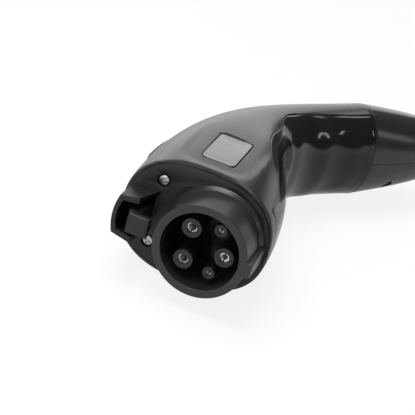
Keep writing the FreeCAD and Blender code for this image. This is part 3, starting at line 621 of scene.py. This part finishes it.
def pad_layer(name, side, gap, out, inn):
    """The pad's layer of the skin between two insets, cut off square at both ends."""
    edge = dict(zip(PAD_ROWS, PAD_TURNS[gap]))
    lowest = -1.0 if gap else 0.0

    def at(inset):
        def point(t, share):
            deep = inset(t, share, edge[t]) if callable(inset) else inset
            spot = skin(t, edge[t] * share, deep)
            return Vector((spot.x, spot.y, max(spot.z, lowest) * side))

        return point

    wall = layer(name, PAD_ROWS, 40, at(out), at(inn))
    stop = PAD_GAP / 2 if gap else PAD_GAP
    far = SEAM - ALONG * stop + AHEAD * 200
    near = SEAM - ALONG * stop - AHEAD * 200
    ends = [(near.x, near.y), (far.x, far.y)]
    past = [(x + ALONG.x * 90, y + ALONG.y * 90) for x, y in reversed(ends)]
    carve(wall, cutter("seam_end", ends + past, -60, 60))
    carve(wall, cutter("head_end", block(-90, -20, 90, PAD_START - gap), -60, 60))
    return wall


def eased(share):
    """A share held between 0 and 1 and made to start and end softly."""
    share = max(0.0, min(1.0, share))
    return share * share * (3 - 2 * share)


DIP_X, DIP_Y, DIP_HALF_X, DIP_HALF_Y, DIP_DEPTH = -10.8, 54, 17.6, 29.5, 0.6
DIP_ENDS, DIP_FADES = 82, 32


def dip(point):
    """The shallow soft-edged field round the nameplate."""
    x, y = abs(point.x - DIP_X) / DIP_HALF_X, abs(point.y - DIP_Y) / DIP_HALF_Y
    inside = eased((1 - (x**4 + y**4)) / 0.3)
    return DIP_DEPTH * inside * eased((DIP_ENDS - point.y) / DIP_FADES)


COVER_HALF, COVER_SPLIT, COVER_END, COVER_GAP = 22.0, 30.0, 96.6, 0.15


def half_shell(name, side):
    """One moulded half of the housing."""

    def at(inset):
        def point(t, share):
            spot = skin(t, math.pi * share, inset)
            if side > 0 and spot.z > 15:
                spot.z -= dip(spot)
            return Vector((spot.x, spot.y, max(spot.z, HALF_GAP) * side))

        return point

    shell = layer(name, evenly(100), 64, at(0), at(WALL))
    carve(shell, plate_space())
    half = COVER_HALF + COVER_GAP
    opening = block(-80, -half, -COVER_SPLIT + COVER_GAP, half)
    carve(shell, cutter("cover_space", opening, -20, COVER_END + COVER_GAP, upright))
    carve(shell, pad_layer("pad_space", side, PAD_GAP, -3.0, PAD_THICK + PAD_GAP))
    return shell


upper_shell = half_shell("upper_housing", 1)
lower_shell = half_shell("lower_housing", -1)
print("shells", len(upper_shell.data.polygons), len(lower_shell.data.polygons))

# %% [markdown]
# The upper shell has the nameplate's pocket, and the lower shell the wells of the four screws
# that hold the halves together. A small bevel then gives every edge the radius that a moulding
# has.

# %% Pocket, wells and soft edges
NAME_PLACE, POCKET_FLOOR = (-10.3, 49.2), 27.3
SHELL_SCREWS = [(5.0, 60.0), (-12.0, 106.0), (-28.0, 104.0), tuple(SEAM - ALONG * 28 - AHEAD)[:2]]


def well(x, y):
    """The round outline of a screw's well."""
    return rounded_corners(x, y, 3, 3, 2.99)


pocket = rounded_corners(*NAME_PLACE, 8.45, 15.8, 2.5)
carve(upper_shell, cutter("name_pocket", pocket, POCKET_FLOOR, 40))
for x, y in SHELL_SCREWS:
    carve(lower_shell, cutter("screw_well", well(x, y), -40, -24))
for shell in (upper_shell, lower_shell):
    soften(shell, 0.2)
dress(settle(upper_shell), satin_black, "housing_black", "housing", "upper_shell")
dress(settle(lower_shell), satin_black, "housing_black", "housing", "lower_shell")
print("shells", len(upper_shell.data.polygons), len(lower_shell.data.polygons))

# %% [markdown]
# ## Top cover
#
# The back of the head is closed by a cover that snaps between the shells. It is the same layer
# of skin, cut to the opening less a fine gap, with the release button's own opening in its
# middle.

# %% Top cover
BUTTON_HALF, BUTTON_FRONT, BUTTON_BACK, BUTTON_GAP, PRESS_GAP = 10.5, 53.0, 87.4, 0.45, 1.1


def skin_ring(inset):
    """Points of the skin's back half, from the upper side round to the lower one."""
    return lambda t, share: skin(t, math.pi / 2 + math.pi * share, inset)


top_cover = layer("back_cover", evenly(60, 0.0, 0.62), 48, skin_ring(0), skin_ring(WALL))
carve(top_cover, plate_space())
carve(top_cover, cutter("beyond_end", block(-90, -90, 90, 90), COVER_END, 300, upright))
carve(top_cover, cutter("belly_side", block(-COVER_SPLIT, -90, 90, 90), -20, 200, upright))
for side in (1, -1):
    flank = block(-90, side * COVER_HALF, 90, side * 90)
    carve(top_cover, cutter("flank", flank, -20, 200, upright))
space_front, space_back = BUTTON_FRONT - PRESS_GAP, BUTTON_BACK + BUTTON_GAP
middle_y, half_y = (space_front + space_back) / 2, (space_back - space_front) / 2
outline = rounded_corners(middle_y, 0, half_y, BUTTON_HALF + BUTTON_GAP, 1.6)
through_back = cutter("button_space", outline, -90, 0, lambda y, z, x: Vector((x, y, z)))
carve(top_cover, through_back)
soften(top_cover, 0.3)
dress(settle(top_cover), satin_black, "housing_black", "housing", "top_cover")
print("cover", len(top_cover.data.polygons))

# %% [markdown]
# ## Grip pads
#
# The belly side of the grip is covered by glossy insets. Low finger waves run across them,
# 22 mm apart, and show as bright spots where the light catches their slopes. The waves fade
# out towards the head and near the seam, and are deeper on the inset's upper part. Along its
# border the inset rounds down a little further.

# %% Grip pads
WAVE_PITCH, WAVE_DEPTH, BELLY_EXTRA, FIRST_CREST = 22.0, 0.6, 0.3, 9.5
UNDER_SKIN, BORDER_WIDE, BORDER_DEEP = 0.04, 3.0, 0.3
WAVES_END, BORDER_ENDS = 84, 64


def held(share):
    """A share held between 0 and 1."""
    return max(0.0, min(1.0, share))


def wave(t, share, edge):
    """How far the pad lies under the skin: between the crests, and along its border."""
    spot = skin(t, edge * share, 0)
    before = (SEAM - spot).dot(ALONG)
    low = (1 - math.cos(2 * math.pi * (before - FIRST_CREST) / WAVE_PITCH)) / 2
    belly = eased((0.72 - share) / 0.45)
    fade = held(min((WAVES_END - before) / 25, before / (45 - 38 * belly)))
    border = max(0.0, 1 - ahead_of_line(spot) / BORDER_WIDE) * held((BORDER_ENDS - before) / 8)
    deep = (WAVE_DEPTH + BELLY_EXTRA * belly) * low ** (1 - 0.3 * belly)
    return UNDER_SKIN + deep * fade * (1 - border) + BORDER_DEEP * border**2


for name, side in (("upper", 1), ("lower", -1)):
    pad = pad_layer(f"{name}_grip_inset", side, 0.0, wave, PAD_THICK)
    soften_off_seam(pad, 0.16)
    dress(settle(pad), glossy_black, "grip_gloss", "housing", f"{name}_grip_pad")
    print(pad.name, len(pad.data.polygons))

# %% [markdown]
# ## Tail caps
#
# Two half shells taper from the grip's oval to a round end and clamp the cable's gland. Their
# skin has its own curves, and their cross-sections crowd towards the end, where the cap rounds
# over. The lower one has two screw wells.

# %% Tail caps
SEAM_GAP = 0.15 / CAP_LENGTH
CAP_ROWS = [SEAM_GAP + (1 - SEAM_GAP) * (1 - (1 - share) ** 1.9) for share in evenly(60)]
CAP_WALL = 2.35
CAP_SCREWS = [tuple(SEAM + ALONG * 20 + AHEAD * ahead)[:2] for ahead in (11.6, -11.6)]


def cap_ring(side, inset):
    """Points of one half of the cap's skin."""

    def point(t, share):
        spot = cap_skin(t, math.pi * share, inset)
        return Vector((spot.x, spot.y, max(spot.z, HALF_GAP) * side))

    return point


for name, side in (("upper", 1), ("lower", -1)):
    cap = layer(f"{name}_end_cap", CAP_ROWS, 56, cap_ring(side, 0), cap_ring(side, CAP_WALL))
    if side < 0:
        for x, y in CAP_SCREWS:
            carve(cap, cutter("cap_well", well(x, y), -40, -9))
    soften(cap, 0.16)
    dress(settle(cap), satin_black, "housing_black", "housing", f"{name}_tail_cap")
    print(cap.name, len(cap.data.polygons))

# %% [markdown]
# ## Plug barrel
#
# The barrel is a turned shape. It starts as a circle primitive that is laid out as the profile,
# corners already broken, and is spun about its axis in edit mode. Its key rib is a softened bar
# that is joined on.

# %% Turned shapes


def turned(name, profile, centre=(0.0, 0.0), steps=96):
    """Turns a closed profile of (radius, y) about a line along Y through a centre (x, z)."""
    bpy.ops.object.select_all(action="DESELECT")
    bpy.ops.mesh.primitive_circle_add(vertices=len(profile), radius=1, fill_type="NOTHING")
    piece = named(name)
    x, z = centre
    for point, (radius, y) in zip(piece.data.vertices, profile):
        point.co = Vector((x + radius, y, z)) * MM
    only(piece)
    bpy.ops.object.mode_set(mode="EDIT")
    bpy.ops.mesh.select_all(action="SELECT")
    middle = Vector((x, 0, z)) * MM
    bpy.ops.mesh.spin(steps=steps, angle=math.tau, center=middle, axis=(0, 1, 0))
    bpy.ops.mesh.select_all(action="SELECT")
    bpy.ops.mesh.remove_doubles(threshold=1e-6)
    bpy.ops.mesh.normals_make_consistent(inside=False)
    bpy.ops.object.mode_set(mode="OBJECT")
    return piece


def broken(profile, radius):
    """A profile whose corners are each broken by a small arc."""
    points = []
    for place, corner in enumerate(profile):
        here = Vector(corner)
        before = Vector(profile[place - 1]) - here
        after = Vector(profile[(place + 1) % len(profile)]) - here
        short = min(radius, before.length / 2.2, after.length / 2.2)
        start, end = here + before.normalized() * short, here + after.normalized() * short
        for step in range(4):
            share = step / 3
            point = start * (1 - share) ** 2 + here * (2 * share * (1 - share)) + end * share**2
            points.append((point.x, point.y))
    return points


BARREL = [
    (18.1, 0.2), (18.3, 0.0), (21.7, 0.0), (21.9, 0.2), (21.9, 18.4), (22.8, 20.4),
    (23.2, 20.9), (23.2, 22.0), (21.9, 22.0), (21.9, 30.0), (20.4, 30.0), (20.4, 34.0),
    (21.9, 34.0), (21.9, 38.0), (19.0, 38.0), (19.0, 29.0), (18.1, 29.0),
]
RIB_PLACE, RIB_SIZE = Vector((22.55, 11, 0)), Vector((3.3, 22, 7))
barrel = turned("barrel", broken(BARREL, 0.45), steps=128)
bpy.ops.object.select_all(action="DESELECT")
bpy.ops.mesh.primitive_cube_add(size=1, location=RIB_PLACE * MM, scale=RIB_SIZE * MM)
key_rib = named("key_rib")
bpy.ops.object.transform_apply(location=True, rotation=True, scale=True)
soften(key_rib, 0.5, segments=3)
finish_with(barrel, "BOOLEAN", operation="UNION", object=key_rib, solver="EXACT")
bpy.data.objects.remove(key_rib)
dress(settle(barrel, 30), barrel_black, "plate_black", "housing", "plug_barrel")
print("barrel", len(barrel.data.polygons))

# %% [markdown]
# ## Sleeves
#
# Five insulating sleeves stand in the barrel, turned from a profile whose mouth is narrower
# than the way behind it. Each row gives a sleeve's place across (x, z), its outer radius, the
# depth of its front, and the radii of its mouth and its way.

# %% Sleeves
SLEEVE_BACK, MOUTH_DEPTH = 31.0, 1.4
SLEEVES = {
    "power_sleeve_live": (-6.8, 7.9, 4.6, 3.4, 2.35, 2.85),
    "power_sleeve_neutral": (-6.8, -7.9, 4.6, 3.4, 2.35, 2.85),
    "earth_sleeve": (10.6, 0.0, 4.6, 3.4, 2.35, 2.85),
    "pilot_sleeve": (5.6, 10.7, 3.0, 5.2, 1.2, 1.6),
    "proximity_sleeve": (5.6, -10.7, 3.0, 5.2, 1.2, 1.6),
}
for node, (x, z, outer, front, mouth, way) in SLEEVES.items():
    step = front + MOUTH_DEPTH
    profile = [(outer, front), (outer, SLEEVE_BACK), (way, SLEEVE_BACK)]
    profile += [(way, step), (mouth, step), (mouth, front)]
    sleeve = turned(node.replace("sleeve", "tube"), broken(profile, 0.35), (x, z), 64)
    dress(settle(sleeve, 30), sleeve_black, "insert_grey", "housing", node)
print("sleeves", len(SLEEVES))

# %% [markdown]
# ## Pieces whose frame shape is right
#
# The front plate with its hood, the hook, the gland, the sleeves' carrier and the contacts keep
# the frame's shape. A copy of each is cleaned of its triangles, and every edge gets the small
# radius of a moulded or turned part.

# %% Copies with soft edges


def softened_copy(node, name, material, slot, body, radius, angle=35):
    """A copy of a frame node with clean faces and rounded edges."""
    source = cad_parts[node]
    copy = bpy.data.objects.new(name, source.data.copy())
    scene.collection.objects.link(copy)
    copy.data.name = name
    only(copy)
    bpy.ops.object.mode_set(mode="EDIT")
    bpy.ops.mesh.select_all(action="SELECT")
    bpy.ops.mesh.remove_doubles(threshold=2e-6)
    bpy.ops.mesh.dissolve_limited(angle_limit=math.radians(1.0))
    bpy.ops.mesh.select_all(action="SELECT")
    bpy.ops.mesh.normals_make_consistent(inside=False)
    bpy.ops.object.mode_set(mode="OBJECT")
    soften(copy, radius, angle)
    return dress(settle(copy, 30), material, slot, body, node)


CONTACTS = (
    "power_contact_live",
    "power_contact_neutral",
    "earth_contact",
    "pilot_contact",
    "proximity_contact",
)
softened_copy("front_plate", "face_plate", grained_black, "plate_black", "housing", 0.35)
softened_copy("latch_lever", "hook_lever", latch_black, "latch_black", "latch", 0.35)
softened_copy("cable_gland", "cable_grommet", rubber_black, "rubber_black", "housing", 0.4)
softened_copy("contact_insert", "sleeve_carrier", sleeve_black, "insert_grey", "housing", 0.15)
for node in CONTACTS:
    socket = node.replace("contact", "socket")
    softened_copy(node, socket, plated_silver, "contact_silver", "housing", 0.12)
print("copies", 4 + len(CONTACTS))

# %% [markdown]
# ## Release button
#
# The button's copy gets the thumb rest that shows behind the head in the photograph. It stands
# flat over the round skin, drops towards both ends, and is fused into the copy.

# %% Release button
REST_RISE = ((54.6, 0.8), (60, 1.2), (66, 1.6), (72, 1.8), (80, 1.7), (84, 1.3), (86.3, 0.4))
REST_WIDE, REST_ROOT = 20.2, 2.4
thumb_button = softened_copy(
    "release_button", "thumb_button", latch_black, "latch_black", "button", 0.6
)


def rise_at(y):
    """How far the rest stands over the middle of the skin."""
    for (y0, rise0), (y1, rise1) in zip(REST_RISE, REST_RISE[1:]):
        if y <= y1:
            return rise0 + (rise1 - rise0) * (y - y0) / (y1 - y0)
    return REST_RISE[-1][1]


def rest_top(t, share):
    """The rest's upper face, a little lower at its sides."""
    crown = skin(t, math.pi)
    droop = 1 - 0.1 * abs(2 * share - 1) ** 6
    return Vector((crown.x - rise_at(crown.y) * droop, crown.y, (share - 0.5) * REST_WIDE))


def rest_foot(t, share):
    """The rest's lower face, inside the button."""
    crown = skin(t, math.pi)
    return Vector((crown.x + REST_ROOT, crown.y, (share - 0.5) * REST_WIDE))


rest_front, rest_back = REST_RISE[0][0], REST_RISE[-1][0]
spans = [t for t in evenly(300, 0.0, 0.7) if rest_front < skin(t, math.pi).y < rest_back]
thumb_rest = layer("thumb_rest", spans, 16, rest_top, rest_foot)
soften(thumb_rest, 0.4)
finish_with(thumb_button, "BOOLEAN", operation="UNION", object=thumb_rest, solver="EXACT")
bpy.data.objects.remove(thumb_rest)
settle(thumb_button, 30)
print("button", len(thumb_button.data.polygons))

# %% [markdown]
# ## Nameplate
#
# A bare plate of brushed metal with rounded corners sits in its pocket, and a fine dark groove is
# left round it.

# %% Nameplate
name_outline = rounded_corners(*NAME_PLACE, 7.9, 15.25, 2.0, 8)
nameplate = cutter("bare_nameplate", name_outline, POCKET_FLOOR + 0.05, 28.75)
soften(nameplate, 0.22, segments=3)
dress(settle(nameplate, 30), brushed_silver, "name_silver", "housing", "nameplate")
print("nameplate", len(nameplate.data.polygons))

# %% [markdown]
# ## Screws
#
# All screws that are seen are pan heads with a cross recess. Each kind is modelled once, with
# two crossed bars cut out of its domed head, and its copies go to their places with their own
# meshes.

# %% Screws


def pan_screw(name, head, tall, shank, length):
    """A pan-head screw along +Z from its head's seat at the origin; the head points down -Z."""
    axis = 0.001
    dome = [(axis, -tall), (head * 0.45, -tall * 0.97), (head * 0.8, -tall * 0.78)]
    dome += [(head * 0.97, -tall * 0.4), (head, -0.1), (head - 0.1, 0.0), (shank, 0.0)]
    dome += [(shank, length - 0.5), (shank - 0.4, length), (axis, length)]
    screw = turned(name, dome, steps=40)
    only(screw)
    # this operator turns the other way round than a right-handed turn about X
    bpy.ops.transform.rotate(value=-math.pi / 2, orient_axis="X", center_override=(0, 0, 0))
    bpy.ops.object.transform_apply(location=True, rotation=True, scale=True)
    wide, long, deep = head * 0.16, head * 0.62, tall * 0.62
    for half_x, half_y in ((wide, long), (long, wide)):
        bar = block(-half_x, -half_y, half_x, half_y)
        carve(screw, cutter("cross_bar", bar, -tall - 1, -tall + deep))
    soften(screw, 0.08, segments=1)
    return screw


def set_screws(name, pattern, places, turn, node):
    """Copies a screw to its places with its own mesh, and joins them to stand for a node."""
    copies = []
    for x, y, z in places:
        copy = bpy.data.objects.new(name, pattern.data.copy())
        scene.collection.objects.link(copy)
        copy.matrix_world = Matrix.Translation(Vector((x, y, z)) * MM) @ turn
        copies.append(copy)
    only(copies[0])
    for copy in copies:
        copy.select_set(True)
    bpy.ops.object.transform_apply(location=True, rotation=True, scale=True)
    bpy.ops.object.join()
    joined = named(name)
    bpy.data.objects.remove(pattern)
    dress(settle(joined, 30), turned_steel, "steel", "housing", node)
    print(name, len(places))


HEAD_RADIUS, SHANK_RADIUS = 2.7, 1.45
SHELL_SPOTS = [(x, y, -12) for x, y in SHELL_SCREWS]
large_screw = pan_screw("large_screw", HEAD_RADIUS, 1.8, SHANK_RADIUS, 22)
set_screws("housing_screws", large_screw, SHELL_SPOTS, Matrix(), "shell_screws")

PLATE_SPOTS = [(-28.8, 23.7, 15.6), (-28.8, 23.7, -15.6)]
plate_screw = pan_screw("plate_screw", HEAD_RADIUS, 1.5, SHANK_RADIUS, 12)
facing = Matrix.Rotation(math.radians(-90), 4, "X") @ Matrix.Rotation(math.radians(20), 4, "Z")
set_screws("face_screws", plate_screw, PLATE_SPOTS, facing, "plate_screws")

# %% [markdown]
# ## The frame's own nodes
#
# What stays of the frame lies inside the housing, and is seen only when it is opened. It gets the
# finishes of its slots.

# %% Finishes of the inner nodes
INNER = {
    "barrel_seal": rubber_black,
    "contact_retainer": inner_grey,
    "retainer_screws": turned_steel,
    "latch_pin": turned_steel,
    "latch_spring": turned_steel,
    "latch_carrier": inner_grey,
    "button_pin": turned_steel,
    "microswitch": inner_grey,
    "switch_plunger": latch_black,
    "circuit_board": board_green,
    "cable_clamp": inner_grey,
    "clamp_screws": turned_steel,
    "cap_screws": turned_steel,
}
for node, material in INNER.items():
    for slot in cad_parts[node].material_slots:
        slot.link = "OBJECT"
        slot.material = material
print("inner nodes", len(INNER))
